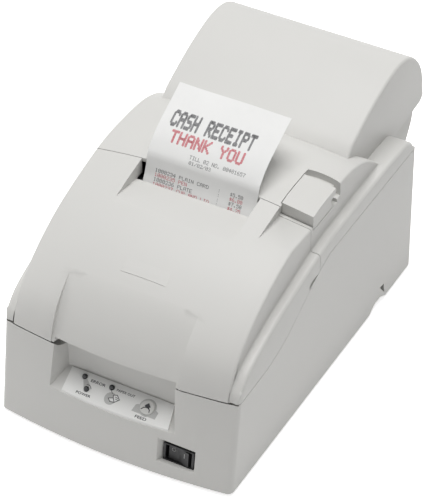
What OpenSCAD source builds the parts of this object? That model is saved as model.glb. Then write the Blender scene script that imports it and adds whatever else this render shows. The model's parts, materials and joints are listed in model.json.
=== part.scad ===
/* [Outer case] */
// Overall width of the case
case_w = 160; // [150:1:170]
// Depth of the lower case, front edge to rear wall
case_d = 248; // [244:1:256]
// Overall depth, front edge to the back of the take-up hood
overall_d = 288; // [286:1:292]
// Height of the hood's crest above the bottom of the case
hood_top = 151; // [150:0.5:153]
// Moulded wall of the case and covers
wall = 2.5; // [2:0.1:3]
// How far the front face bows out at the middle
front_bow = 6; // [4:0.5:8]
// How far the front face leans back over the height of the lower case
front_lean = 9.7; // [7:0.1:12]
// Height of the front seam between lower case and front cover
front_seam = 63; // [60:0.5:64]
// Height of the side seam under the roll cover
rear_seam = 95; // [93:0.5:97]
// Radius of the upright corners
corner_r = 4; // [2:0.5:6]
// Gap left at every seam
seam_gap = 0.4; // [0.3:0.1:1]

/* [Covers] */
// Width of the raised middle of the covers
raised_w = 147; // [140:1:150]
// Radius of the barrel that the raised middle is part of
crown_r = 400; // [330:10:500]
// Where front cover and roll cover part on top
part_y = 116.5; // [114:0.5:118]
// Outer width of the take-up hood
hood_w = 130; // [126:1:134]
// Distance of the front hinge from the front edge
front_hinge_y = 18.8; // [18.4:0.1:19.2]
// Height of the front hinge
front_hinge_z = 67.5; // [67:0.5:68.5]
// Distance of the rear hinge from the front edge
rear_hinge_y = 241; // [240:0.5:242]
// Height of the rear hinge
rear_hinge_z = 87; // [86:0.5:88]
// Diameter of the hinge pins
hinge_pin_d = 3; // [2:0.5:4]
// Running clearance round every pin and shaft
run_gap = 0.06; // [0.03:0.01:0.09]

/* [Paper] */
// Width of the roll paper
paper_w = 76; // [70:0.5:78]
// Outer diameter of the roll in the bay
roll_d = 80; // [60:1:83]
// Diameter of the core of the roll
core_d = 16; // [12:1:20]
// Thickness of the paper as modelled
paper_t = 0.2; // [0.1:0.05:0.3]
// Width of the paper slot
slot_w = 81; // [79:0.2:82]
// Middle of the paper slot, from the middle of the case
slot_x = -0.8; // [-2:0.1:0]

/* [Feet] */
// Height of the rubber feet
foot_h = 3; // [2:0.5:4]
// Diameter of the rubber feet
foot_d = 13; // [8:1:18]

/* [Control panel] */
// Width of the panel recess at its rear
recess_w = 75; // [72:1:80]
// Widening of the recess towards the front, each side
recess_flare = 5.5; // [3:0.5:7]
// Diameter of the feed button
button_d = 9; // [7:0.5:11]
// Travel of the feed button
button_travel = 1; // [0.6:0.1:1.4]
// Diameter of the status lamps
led_d = 3.4; // [2.5:0.1:4.5]

/* [Power switch] */
// Width of the rocker
rocker_w = 15; // [12:0.5:17]
// Height of the rocker
rocker_h = 10; // [8:0.5:12]
// Position of the switch from the middle
switch_x = 44; // [42:0.5:46]
// Height of the switch
switch_z = 15; // [14:0.5:18]

/* [Mechanism] */
// Inner width between the side plates of the chassis
chassis_w = 126; // [124:1:128]
// Sheet thickness of the chassis
sheet = 1.5; // [1:0.1:2]
// Diameter of the carriage guide shaft
guide_d = 5; // [4:0.5:6]
// Pitch radius of the carriage belt pulleys
pulley_r = 6.4; // [5:0.2:7]
// Thickness of the carriage belt
belt_t = 1; // [0.8:0.1:1.4]
// Diameter of the feed roller's rubber sleeves
feed_d = 10; // [8:0.5:11]
// Module of the gear teeth
gear_m = 0.8; // [0.6:0.05:0.9]
// Teeth on the feed roller's gear
roller_teeth = 30; // [26:1:32]
// Teeth on the idler gear
idler_teeth = 25; // [20:1:26]
// Teeth on the motor pinions
pinion_teeth = 12; // [10:1:14]
// Face width of the gears
gear_face = 4; // [3:0.5:5]
// Outer diameter of the stepping motors
motor_d = 35; // [32:1:36]

/* [Take-up] */
// Radius of the spool's flanges
flange_r = 20; // [16:1:22]
// Radius of the journal paper wound on the spool
journal_r = 13; // [8:0.5:19]
// Teeth on the spool's gear
spool_teeth = 36; // [30:1:40]

/* [Hidden] */
$fn = 64;
eps = 0.01;
half_w = case_w / 2;
lean_a = atan(front_lean / front_seam);
bow_r = (pow(half_w, 2) + pow(front_bow, 2)) / (2 * front_bow);
face = seam_gap / 2;

// Smooth curve through a list of points, n steps to a span
function spline_at(a, b, c, d, t) = 0.5 * (2 * b + (c - a) * t + (2 * a - 5 * b + 4 * c - d) * t * t
    + (3 * b - a - 3 * c + d) * t * t * t);
function spline(p, n) = [for (i = [0 : len(p) - 2]) for (k = [0 : n - 1])
    spline_at(p[max(i - 1, 0)], p[i], p[i + 1], p[min(i + 2, len(p) - 1)], k / n), p[len(p) - 1]];
function arc(c, r, a, b, n) = [for (k = [0 : n]) c + r * [cos(a + (b - a) * k / n),
    sin(a + (b - a) * k / n)]];

// Side outlines, as [distance from the front, height]
raised_line = spline([[9, 54], [11, 72], [20.5, 90], [42, 107], [71, 121], [114, 132.5], [139, 134.5],
    [165, 133.3], [182, 128], [192.5, 121], [201.5, 112.5], [209, 102]], 5);
ledge_line = spline([[15.2, 58], [17, 67], [20, 72], [27, 78.5], [38, 84], [50, 88.2], [61, 91.5],
    [72, 94.3], [86, 97.3], [100, 100.3], [115, 103.2], [134, 105.4], [152, 105.8], [170, 106.4],
    [200, 106.8], [222, 106.4]], 3);
ledge_tail = [[236, 105.5], [242.5, 101.5], [246.5, 95.5], [case_d, 88]];
seam_line = concat([[-20, front_seam], [17, front_seam + 0.5], [51, 64.5]], spline([[51, 64.5], [70, 68.8],
    [80, 73], [105, 85.5], [118, 91.5], [130, rear_seam]], 3), [[rear_hinge_y, rear_seam]],
    arc([rear_hinge_y, rear_hinge_z], rear_seam - rear_hinge_z, 90, 20, 8), [[300, rear_hinge_z]]);
hood_line = spline([[177, 122], [186, 130.6], [197, 136], [206, 140], [217, 144.2], [228, 147.5],
    [239, hood_top - 1], [250, hood_top], [260, hood_top - 1.6], [268, 145.8], [276, 139.3], [283, 130],
    [overall_d - 1, 119], [overall_d, 108]], 3);
hood_tail = [[overall_d - 0.8, 104.5], [overall_d - 4, 101.5]];

// Paper path and mechanism places
web_y = 107.7;
slot_front_y = 109.3;
slot_front_z = 120.3;
slot_start = 72;
slot_fall = 5;
paper_x = 0;
cut_z = 114.4;
platen_z = 80;
roll_c = [178, 49.3];
bay_r = roll_d / 2 + 4;
bay_c = [roll_c[0], wall + 2 + bay_r];
roll_z = wall + 2 + roll_d / 2 + 0.3;
plate_x = chassis_w / 2;
chassis_z = 12;
guide_y = 84;
guide_z = 58;
head_y = 104.2;
belt_y = 56;
belt_z = 38;
drive_x = -46;
idler_x = 48;
feed_z = 58;
pinch_y = 102;
feed_y = web_y + 0.3 + feed_d / 2;
mesh_gap = 0.06;
gear_x = plate_x + sheet + 1.2;
idler_d = gear_m * (roller_teeth + idler_teeth) / 2 + mesh_gap;
pinion_d = gear_m * (pinion_teeth + idler_teeth) / 2 + mesh_gap;
idler_y = feed_y - idler_d * cos(45);
idler_z = feed_z - idler_d * sin(45);
motor_y = idler_y - pinion_d * cos(45);
motor_z = idler_z - pinion_d * sin(45);
spool_y = 257;
spool_z = 112;
arm_x = paper_w / 2 + 6;
arm_t = 2;
spool_gear_x = arm_x + arm_t + 0.4;
take_d = gear_m * (spool_teeth + pinion_teeth) / 2 + mesh_gap;
take_a = -80;
take_y = spool_y + take_d * cos(take_a);
take_z = spool_z + take_d * sin(take_a);
take_plate_x = spool_gear_x + gear_face + 0.4;
housing_w = hood_w - 7;
port_y = case_d - wall;
port_z0 = 9;
port_z1 = 39;
post_x = 56;
post_y = [38, 124];
recess_x = -1.3;
panel_a = 30;
panel_y = 20.9;
panel_z = 41.6;
button_x = 19.7;
button_y = -8.5;
plate_t = 1;
plate_drop = (plate_t + 0.12 + eps) / cos(panel_a);
switch_pivot = 7.2;
idler_phase = 135 - 180 / idler_teeth;
pinion_phase = 135 - 180 / pinion_teeth
    + ((315 - idler_phase) % (360 / idler_teeth)) * idler_teeth / pinion_teeth;

case_colour = "#dcdcd8";
dark_grey = "#3a3b3d";
steel = "#b9bcbf";
black = "#1c1c1e";

module at_rest() translate([0, -overall_d / 2, foot_h]) children();
module across(w, x = 0) translate([x - w / 2, 0, 0]) rotate([90, 0, 90]) linear_extrude(w) children();
module rod(d, x0, x1, y, z) translate([x0, y, z]) rotate([0, 90, 0]) cylinder(d = d, h = x1 - x0);
module block(x0, x1, y0, y1, z0, z1) translate([x0, y0, z0]) cube([x1 - x0, y1 - y0, z1 - z0]);
module both_sides() { children(); mirror([1, 0, 0]) children(); }
module ring(d, bore, h) difference() {
    cylinder(d = d, h = h);
    translate([0, 0, -1]) cylinder(d = bore, h = h + 2);
}

// Involute gear outline with a little backlash
function involute(rb, t) = rb * [cos(t) + t * PI / 180 * sin(t), sin(t) - t * PI / 180 * cos(t)];
function turned(p, a) = [p[0] * cos(a) - p[1] * sin(a), p[0] * sin(a) + p[1] * cos(a)];
module gear(teeth, bore, h, phase = 0) {
    pitch = gear_m * teeth / 2;
    rb = pitch * cos(20);
    tip = pitch + 0.9 * gear_m;
    root = pitch - 1.15 * gear_m;
    half = 90 / teeth - 0.55 * gear_m * 180 / PI / pitch * 0.12;
    at_pitch = sqrt(pow(pitch / rb, 2) - 1) * 180 / PI;
    at_tip = sqrt(pow(tip / rb, 2) - 1) * 180 / PI;
    lead = at_pitch - 20 + half;
    flank = [for (k = [0 : 3]) involute(rb, at_tip * k / 3)];
    difference() {
        linear_extrude(h) rotate(phase) union() {
            circle(root, $fn = 60);
            for (k = [0 : teeth - 1]) rotate(k * 360 / teeth) polygon(concat(
                [[root * 0.8, 0]], [turned([root * 0.98, 0], -lead)], [for (p = flank) turned(p, -lead)],
                [for (i = [3 : -1 : 0]) turned([flank[i][0], -flank[i][1]], lead)],
                [turned([root * 0.98, 0], lead)]));
        }
        translate([0, 0, -1]) cylinder(d = bore, h = h + 2);
    }
}

// The case and covers as one outline, set in by a wall where asked
module footprint(inset) offset(r = corner_r) offset(delta = -corner_r) intersection() {
    translate([0, bow_r]) circle(bow_r - inset, $fn = 360);
    translate([-half_w + inset, -10]) square([case_w - 2 * inset, 420]);
}
module case_outline(inset) intersection() {
    rotate([-lean_a, 0, 0]) translate([0, 0, -60]) linear_extrude(340) footprint(inset);
    linear_extrude(140) offset(r = 3) offset(delta = -3)
        translate([-half_w + inset, -20]) square([case_w - 2 * inset, case_d + 20 - inset]);
}
module crowned(line, inset) {
    turn = asin(half_w / (crown_r - 140)) + 1;
    translate([0, 30, 99]) rotate([-45, 0, 0]) translate([0, crown_r, 0]) rotate(-90 - turn)
        rotate_extrude(angle = 2 * turn, $fn = 240) offset(delta = -inset)
        polygon([for (p = line)
            [crown_r + (p[1] - 99 - p[0] + 30) * sqrt(0.5), (p[0] - 30 + p[1] - 99) * sqrt(0.5)]]);
}
module raised_outline(inset) intersection() {
    crowned(concat(raised_line, [[214, 40], [9, 40]]), inset);
    block(-raised_w / 2 + inset, raised_w / 2 - inset, -20, case_d, 30, 150);
}
module ledge_outline(inset) intersection() {
    across(case_w - 2 * inset) offset(delta = -inset)
        polygon(concat(ledge_line, ledge_tail, [[case_d, 40], [15.2, 40]]));
    case_outline(inset);
}
module cover_outline(inset) {
    raised_outline(inset);
    ledge_outline(inset);
}
module below_seam() polygon(concat(seam_line, [[300, -20], [-20, -20]]));
module above_seam() difference() {
    translate([-30, 20]) square([340, 180]);
    offset(delta = seam_gap) below_seam();
}
module cover_shell() intersection() {
    difference() {
        cover_outline(0);
        cover_outline(wall);
    }
    across(200) above_seam();
}
module front_part() block(-half_w, half_w, -30, part_y - face, 20, 200);
module rear_part() block(-half_w, half_w, part_y + face, 300, 20, 200);

// ---- Case and covers ----
lip_r = 8.5;
trough_x = 44.5;
trough_end = 5.35;
hinge_x = 46.6;
ear_w = 4;
boss_d = 6.2;
trough_t = 2;
module about_front() translate([front_hinge_y, front_hinge_z]) children();
module about_rear() translate([rear_hinge_y, rear_hinge_z]) children();
module recess_plan(grow) translate([recess_x, 0]) {
    rear = recess_w / 2 + grow;
    front = rear + recess_flare * (panel_y + 3) / 14;
    polygon([[-front, -3], [-rear, panel_y + grow], [rear, panel_y + grow], [front, -3]]);
}
module recess_floor(drop, top) polygon([[-12, panel_z - drop - (panel_y + 12) * tan(panel_a)],
    [panel_y + 4, panel_z - drop + 4 * tan(panel_a)], [panel_y + 4, top], [-12, top]]);
module recess_hollow() intersection() {
    linear_extrude(80) recess_plan(0);
    across(160) recess_floor(plate_drop, 80);
}
module trough(grow) intersection() {
    both_sides() {
        rod(2 * (lip_r + grow), -eps, trough_x, front_hinge_y, front_hinge_z);
        translate([trough_x - eps, front_hinge_y, front_hinge_z]) rotate([0, 90, 0])
            cylinder(r1 = lip_r + grow, r2 = trough_end + grow, h = half_w - 0.8 - trough_x);
    }
    block(-half_w, half_w, -20, 60, 40, front_seam + 2);
}
module hinge_trough() intersection() {
    trough(trough_t);
    case_outline(0);
}
module lower_case() color(case_colour) at_rest() difference() {
    union() {
        intersection() {
            union() {
                difference() {
                    case_outline(0);
                    intersection() {
                        case_outline(wall);
                        block(-100, 100, -20, 300, wall, 200);
                    }
                }
                hinge_trough();
                intersection() {
                    difference() {
                        linear_extrude(front_seam - 2) recess_plan(wall);
                        linear_extrude(20) recess_plan(20);
                    }
                    across(160) recess_floor(plate_drop + wall, 80);
                    case_outline(0);
                }
                switch_block(wall);
                on_panel() for (x = [-6.1, 6.1]) translate([button_x + x, button_y, key_board_z + eps])
                    cylinder(d = 2.2, h = 8);
            }
            across(200) below_seam();
        }
        both_sides() {
            rod(10, half_w - 8.5, half_w - 1, rear_hinge_y, rear_hinge_z);
            block(half_w - 8.5, half_w - 1, rear_hinge_y - 2.5, rear_hinge_y + 2.5, 55, rear_hinge_z);
            rod(boss_d, hinge_x, hinge_x + ear_w, front_hinge_y, front_hinge_z);
            across(ear_w, hinge_x + ear_w / 2) about_front()
                polygon([[0, -2.2], [0, 3], [9.5, 2], [10.4, -3], [7.5, -7], [4.6, -6]]);
            for (y = post_y) translate([post_x, y, 0]) cylinder(d = 8, h = chassis_z);
        }
    }
    difference() {
        trough(0);
        both_sides() across(ear_w + 0.02, hinge_x + ear_w / 2) about_front() {
            circle(d = boss_d);
            polygon([[0, -2.2], [0, 3], [10.5, 3], [10.5, -8], [4.6, -6]]);
        }
    }
    recess_hollow();
    intersection() {
        across(recess_w + 30, recess_x) translate([-5, 50]) square([panel_y + 5, 60]);
        linear_extrude(80) recess_plan(0);
    }
    on_panel() translate([button_x, button_y, -8]) cylinder(d = button_d + 0.16, h = 9);
    switch_hole();
    both_sides() {
        rod(hinge_pin_d + 2 * run_gap, hinge_x - 1, hinge_x + 9, front_hinge_y, front_hinge_z);
        rod(hinge_pin_d + 2 * run_gap, 60, half_w - 3, rear_hinge_y, rear_hinge_z);
        for (y = post_y) translate([post_x, y, 3]) cylinder(d = 2.6, h = 20);
        across(4, half_w) polygon([[187, -1], [194.5, 3.4], [197.5, 5.4], [202, 4.9], [213, -1]]);
        across(6, half_w) polygon([[202.7, 12.4], [208.5, 11.8], [209.5, 3.6]]);
    }
    across(112) translate([port_y - 1, port_z0]) square([wall + 2, port_z1 - port_z0]);
}
module switch_block(t) intersection() {
    block(switch_x - 12.8 - t, switch_x + 12.8 + t, -5, 12 + t, switch_z - 7 - t, switch_z + 9.5 + t);
    case_outline(0);
}
module on_face(z) translate([0, z * tan(lean_a) + pow(switch_x, 2) / (2 * bow_r), z])
    rotate([-lean_a, 0, 0]) children();
module switch_hole() on_face(switch_z) translate([switch_x, 0, 0]) {
    hull() {
        translate([0, -3, 3.3]) cube([27, 0.1, 18.2], center = true);
        translate([0, 4.5, 0]) cube([21.2, 0.1, 12.3], center = true);
    }
    cube([19.4, 40, 12], center = true);
}
module on_panel() translate([0, panel_y, panel_z]) rotate([panel_a, 0, 0]) children();

module front_cover() color(case_colour) at_rest() difference() {
    union() {
        intersection() {
            cover_shell();
            front_part();
        }
        intersection() {
            cover_outline(0);
            union() {
                across(slot_w + 6, slot_x) polygon([[slot_start, slot_front_z + slot_fall - wall],
                    [slot_front_y + 0.4, slot_front_z - wall], [slot_front_y + 0.4, slot_front_z],
                    [part_y - face, slot_front_z], [part_y - face, 134], [slot_start, 134]]);
                intersection() {
                    scoop_wedge(wall);
                    block(scoop_x - wall, raised_w / 2, 80, part_y - face, 100, 140);
                }
                across(2 * 46) polygon([[8, front_seam + 1.2], [17.4, front_seam + 1.2],
                    [18.6, front_seam + 3], [23, 75], [30, 91], [37, 103], [12, 103]]);
            }
        }
        both_sides() {
            rod(boss_d, hinge_x + ear_w + 0.4, hinge_x + 2 * ear_w + 0.4, front_hinge_y, front_hinge_z);
            intersection() {
                across(ear_w, hinge_x + 1.5 * ear_w + 0.4) polygon([[15, 68], [21.8, 68.5], [25, 82],
                    [22, 86], [12, 72]]);
                cover_outline(1);
            }
        }
    }
    across(slot_w, slot_x) polygon([[slot_start, slot_front_z + slot_fall], [slot_front_y, slot_front_z],
        [slot_front_y, 100], [130, 100], [130, 160], [slot_start, 160]]);
    scoop_wedge(0);
    lip_relief();
    both_sides() {
        rod(hinge_pin_d + 2 * run_gap, hinge_x - 1, hinge_x + 10, front_hinge_y, front_hinge_z);
        block(half_w - 1, half_w + 5, 103, part_y, 86, 90.5);
    }
}
scoop_x = raised_w / 2 - 21.5;
module scoop_wedge(grow) translate([scoop_x - grow, 0, 123.5 - grow]) rotate([0, 7, 0]) across(40, 20)
    polygon([[80, 0.6], [part_y + 3, -0.9], [part_y + 3, 24], [80, 24]]);
lip_z = 67;
lip_y = 11;
lip_half = 43.3;
lip_line = spline([[4, 52], [lip_y, lip_z], [16.6, 79.5], [24.5, 91.5], [33, 100.7], [42, 107.2]], 3);
module lip_relief() {
    linear_extrude(lip_z) recess_plan(0.6);
    difference() {
        across(2 * lip_half, recess_x) polygon([[-20, 40], [lip_y + 9, 40], [lip_y + 9, lip_z], [39, 106.5],
            [-20, 106.5]]);
        crowned(concat(lip_line, [[100, 110], [100, 40], [4, 40]]), 0);
    }
}
lever_x0 = raised_w / 2 - 21.3;
lever_y0 = part_y + 3.2;
lever_y1 = 148.6;
lever_z0 = 117.6;
lever_t = 8;
lever_open = 25;
lever_pin_y = 142.5;
lever_pin_z = 125.4;
module roll_cover() color(case_colour) at_rest() difference() {
    union() {
        intersection() {
            cover_shell();
            rear_part();
        }
        intersection() {
            difference() {
                raised_outline(0);
                raised_outline(lever_t + 0.5 + wall);
            }
            block(lever_x0 - 0.4 - 4, raised_w / 2, part_y + face, 158, lever_z0 - 0.4 - wall, 140);
        }
        both_sides() intersection() {
            union() {
                rod(9, half_w - 13.2, half_w - 9, rear_hinge_y, rear_hinge_z);
                across(4.2, half_w - 11.1) polygon([[rear_hinge_y - 4.4, rear_hinge_z - 1],
                    [rear_hinge_y, rear_hinge_z + 4.4],
                    [232, 95], [231, 114], [221, 118], [222, 92], [228, 85]]);
            }
            across(200) difference() {
                offset(delta = -1) polygon(concat(ledge_line, ledge_tail, [[case_d, 40], [15.2, 40]]));
            }
        }
    }
    lever_pocket();
    across(hood_w - 5.6) polygon([[199, 60], [199, 150], [260, 150], [260, 60]]);
    across(slot_w, slot_x) polygon([[part_y - 1, 128], [part_y - 1, 140], [part_y + 4.5, 140]]);
    both_sides() {
        rod(hinge_pin_d + 2 * run_gap, half_w - 20, half_w - 2, rear_hinge_y, rear_hinge_z);
    }
    rod(3, lever_x0 - 4, lever_x0, lever_pin_y, lever_pin_z);
    rod(4.2, lever_x0 - 0.4, 66, lever_pin_y, lever_pin_z);
}
module lever_pocket() {
    intersection() {
        difference() {
            raised_outline(-2);
            raised_outline(lever_t + 0.5);
        }
        block(lever_x0 - 0.4, raised_w / 2 + eps, lever_y0 - 0.8, lever_y1 + 1.6, lever_z0 - 0.4, 150);
    }
    intersection() {
        difference() {
            raised_outline(-2);
            raised_outline(4.5);
        }
        block(lever_x0 - 0.4, raised_w / 2 + eps, lever_y1, 160, lever_z0 + 2, 150);
        translate([raised_w / 2 - 10, part_y - 1, 0]) cylinder(r = 40, h = 200, $fn = 96);
    }
    scoop_wedge(0);
}
module open_lever() color(case_colour) at_rest() difference() {
    intersection() {
        difference() {
            raised_outline(0);
            raised_outline(lever_t);
        }
        block(lever_x0, raised_w / 2 - 0.2, lever_y0, lever_y1, lever_z0, 140);
    }
    rod(3 + 2 * run_gap, lever_x0 - 1, lever_x0 + 17, lever_pin_y, lever_pin_z);
    across(60, 60) translate([lever_pin_y, lever_pin_z - 2.4]) rotate(lever_open) translate([0, -20])
        square([30, 20]);
}
module lever_pin() color(steel) at_rest() rod(3, lever_x0 - 4, lever_x0 + 16.5, lever_pin_y, lever_pin_z);
module takeup_hood() color(case_colour) at_rest() difference() {
    across(hood_w) polygon(concat(hood_line, hood_tail, [[246, 98], [200, 98], [176, 100]]));
    across(hood_w - 4) offset(delta = -2) polygon(concat(hood_line, hood_tail, [[270, 60], [176, 60]]));
    cover_outline(0);
    across(200) polygon([[150, 60], [150, 90], [240, 90], [rear_hinge_y, rear_seam + 1.2], [248.6, 92.6],
        [256, 97.5], [282, 99.5], [282, 60]]);
}
module takeup_housing() color("#d2d2ce") at_rest() difference() {
    intersection() {
        across(housing_w) housing_side(0);
        block(-100, 100, case_d, 300, 0, 99);
    }
    intersection() {
        across(housing_w - 2 * wall) housing_side(wall);
        block(-100, 100, case_d + wall, 300, 0, 120);
    }
    both_sides() translate([arm_x + 6, case_d - 1, 80]) rotate([-90, 0, 0]) cylinder(d = 2.6, h = 6);
    block(-42, spool_gear_x + gear_face + 0.6, case_d - 1, case_d + wall + 1, 91.5, 100);
}
module housing_side(inset) offset(delta = -inset) polygon(concat([[case_d - 20, 120], [280, 120]],
    spline([[281.5, 98], [279.5, 88], [273, 77], [264, 65], [255, 55], [case_d - 1, 46]], 3),
        [[case_d - 20, 46]]));
module front_hinge_pins() color(steel) at_rest() both_sides()
    rod(hinge_pin_d, hinge_x, hinge_x + 2 * ear_w + 0.4, front_hinge_y, front_hinge_z);
module rear_hinge_pins() color(steel) at_rest() both_sides()
    rod(hinge_pin_d, half_w - 13.6, half_w - 3.2, rear_hinge_y, rear_hinge_z);
module rubber_feet() color(black) at_rest() both_sides() for (y = [22, 228])
    translate([half_w - 15, y, -foot_h]) cylinder(d = foot_d, h = foot_h);

// ---- Control panel and switch ----
led_places = [[-25.6, -4.1], [-21.2, -10.9], [-6.6, -4.6]];
module panel_plate() color("#e9eae8") at_rest() difference() {
    intersection() {
        on_panel() translate([0, 0, -plate_t - 0.12]) linear_extrude(plate_t)
            polygon([[-36, -0.9], [34.6, -0.9], [38.2, -20], [-35.8, -20]]);
        case_outline(0.3);
    }
    on_panel() {
        translate([button_x, button_y, -5]) cylinder(d = button_d + 0.5, h = 9);
        for (p = led_places) translate([p[0], p[1], -5]) cylinder(d = led_d + 0.2, h = 9);
    }
}
module status_lamps() color("#15171a") at_rest() on_panel() for (p = led_places)
    translate([p[0], p[1], -plate_t - 0.12]) {
        cylinder(d = led_d, h = 1.3);
        translate([0, 0, 1.3]) difference() {
            sphere(d = led_d);
            translate([0, 0, -led_d]) cube(2 * led_d, center = true);
        }
    }
module feed_button() color("#e4e4e0") at_rest() on_panel() translate([button_x, button_y, 0]) {
    translate([0, 0, -6.6]) cylinder(d = button_d, h = 7.4);
    translate([0, 0, -7.2]) cylinder(d = button_d - 4, h = 0.8);
}
module button_switch() color(dark_grey) at_rest() on_panel() translate([button_x, button_y, 0]) {
    translate([0, 0, key_board_z - 1.2]) linear_extrude(1.2) square([14.6, 12], center = true);
    translate([0, 0, key_board_z]) linear_extrude(1.7) square([6, 6], center = true);
    translate([0, 0, key_board_z + 1.7]) cylinder(d = 3.4, h = 0.4);
}
key_board_z = -7.2 - button_travel - 0.3 - 2.1;
module switch_frame() on_face(switch_z) translate([switch_x, 0, 0]) children();
module switch_bezel() color(black) at_rest() switch_frame() difference() {
    union() {
        translate([0, 3.7, 0]) cube([20.8, 1.6, 12], center = true);
        translate([0, 11, 0]) cube([19, 13, 11.6], center = true);
    }
    translate([0, 7.5, 0]) cube([rocker_w + 2.6, 10, rocker_h + 0.6], center = true);
    translate([0, switch_pivot, -7]) cylinder(d = 2 + 2 * run_gap, h = 14);
}
module power_rocker() color(black) at_rest() switch_frame() translate([0, switch_pivot, 0]) {
    w = rocker_w / 2;
    translate([0, 0, -rocker_h / 2]) linear_extrude(rocker_h)
        polygon([[-w, -1.4], [-w + 0.4, -2.9], [0, -3.2],
        [w - 0.4, -5.2], [w, -2.5], [w, -1.2], [2, 1.2], [-2, 1.2]]);
    translate([0, 0, -5.7]) cylinder(d = 2, h = 11.4);
}

// ---- Paper ----
receipt_line = spline([[web_y, cut_z + 0.3], [110.2, 117.6], [113.2, 122.5], [115, 127], [116.3, 131],
    [117.4, 135], [119.5, 138.4], [124.7, 143.5], [131.9, 148.5], [143.1, 154.4], [158.4, 162]], 3);
web_line = concat([[roll_c[0], roll_z] + (roll_d / 2 + 0.3) * [cos(234.9), sin(234.9)]],
    spline([[117, 38.4], [110.6, 43.2], [web_y, 50], [web_y, 60], [web_y, cut_z]], 3));
module strip(line, t) {
    n = len(line) - 1;
    function normal(i) = let (a = line[max(i - 1, 0)], b = line[min(i + 1, n)]) t * [a[1] - b[1],
        b[0] - a[0]] / norm(b - a);
    polygon(concat(line, [for (i = [n : -1 : 0]) line[i] + normal(i)]));
}
module receipt() color("white") at_rest() across(paper_w, paper_x) strip(receipt_line, paper_t);
module paper_web() color("white") at_rest() across(paper_w, paper_x) strip(web_line, paper_t);
module paper_roll() color("#f6f5f1") at_rest() translate([paper_x - paper_w / 2, roll_c[0], roll_z])
    rotate([0, 90, 0])
    ring(roll_d, core_d + 0.1, paper_w);
module roll_core() color("#c9b391") at_rest() translate([paper_x - paper_w / 2, roll_c[0], roll_z])
    rotate([0, 90, 0])
    ring(core_d, core_d - 3, paper_w);
module paper_bay() color(dark_grey) at_rest() difference() {
    union() {
        across(paper_w + 7) {
            intersection() {
                translate(bay_c) circle(bay_r + 2, $fn = 120);
                union() {
                    translate([bay_c[0] - 12, wall]) square([90, bay_c[1] - wall + 6]);
                    translate([bay_c[0] - 60, wall]) square([60, 10]);
                }
            }
            translate([bay_c[0] - 20, wall]) square([50, 6]);
        }
        across(paper_w + 7) translate([bay_c[0] - bay_r - 2, wall])
            square([2 * bay_r + 4, bay_c[1] - wall + 20]);
    }
    across(paper_w + 3) {
        translate(bay_c) circle(bay_r, $fn = 120);
        translate([bay_c[0] - 60, bay_c[1]]) square([120, 60]);
        translate([bay_c[0] - 60, wall + 8]) square([60, 60]);
    }
}

// ---- Print mechanism ----
module chassis() color(steel) at_rest() difference() {
    union() {
        block(-plate_x - sheet, plate_x + sheet, 34, 132, chassis_z, chassis_z + sheet);
        both_sides() across(sheet, plate_x + sheet / 2) polygon([[34, chassis_z], [132, chassis_z],
            [132, 70],
            [126, 94], [116, 99], [116, 112], [104, 112], [100, 96], [92, 76], [60, 76], [50, 60],
                [34, 52]]);
    }
    for (hole = [[guide_d, guide_y, guide_z], [6, feed_y, feed_z], [5, pinch_y, feed_z], [4, 61, 66]])
        rod(hole[0] + 2 * run_gap, -80, 80, hole[1], hole[2]);
    rod(8, 0, 80, motor_y, motor_z);
    rod(4 + 2 * run_gap, 0, 80, idler_y, idler_z);
    translate([drive_x, belt_y, 0]) cylinder(d = 12, h = 40);
    translate([idler_x, belt_y, 0]) cylinder(d = 4 + 2 * run_gap, h = 40);
    block(-paper_w / 2 - 3, paper_w / 2 + 3, 104, 140, chassis_z - 1, chassis_z + 3);
    both_sides() for (y = post_y) translate([post_x, y, 0]) cylinder(d = 3.4, h = 40);
    both_sides() block(plate_x - 0.1, plate_x + 3, 109, 115, platen_z - 5.8, platen_z + 5.8);
    translate([32, 94, 0]) cylinder(d = 3.4, h = 30);
}
module guide_shaft() color("#d6d8da") at_rest()
    rod(guide_d, -plate_x - sheet - 2, plate_x + sheet + 2, guide_y, guide_z);
module guide_rail() color(steel) at_rest() {
    block(-plate_x + 0.2, plate_x - 0.2, 60, 62, 62, 70);
    both_sides() rod(4, plate_x - 1, plate_x + sheet + 0.5, 61, 66);
}
carriage_w = 26;
module carriage() color(dark_grey) at_rest() difference() {
    union() {
        across(carriage_w) polygon([[64, 60], [78, 51], [90, 51], [94, 56], [94, 65.5], [74, 65.5],
            [58.6, 73], [57, 73], [57, 62.5], [59.6, 62.5], [59.6, 70.4], [62.4, 70.4], [62.4, 62]]);
        block(-5, 5, belt_y + pulley_r + belt_t + 0.3, 80, belt_z - 2, 56);
    }
    rod(guide_d + 2 * run_gap, -40, 40, guide_y, guide_z);
    block(-8, 8, 76, 98, 64, 80);
}
module print_head() color("#8d9093") at_rest() {
    difference() {
        block(-10, 10, 75.5, 93, 65.6, 88);
        for (i = [0 : 5]) translate([-11, 74, 70 + i * 2.9]) cube([22, 5, 1.4]);
        both_sides() for (i = [0 : 2]) translate([8, 81 + i * 3.6, 67]) cube([3, 1.6, 22]);
    }
    translate([0, 93, platen_z - 1]) rotate([-90, 0, 0]) cylinder(d1 = 15, d2 = 8, h = 7);
    block(-2, 2, 99.9, head_y, platen_z - 6, platen_z + 4);
    block(-7, 7, 76.5, 90, 64.05, 65.7);
}
module belt_outline(grow) hull() {
    translate([drive_x, belt_y]) circle(pulley_r + grow, $fn = 48);
    translate([idler_x, belt_y]) circle(pulley_r + grow, $fn = 48);
}
module carriage_belt() color(black) at_rest() translate([0, 0, belt_z - 1.9]) linear_extrude(3.8)
    difference() {
    belt_outline(belt_t);
    belt_outline(0.3);
}
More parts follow.
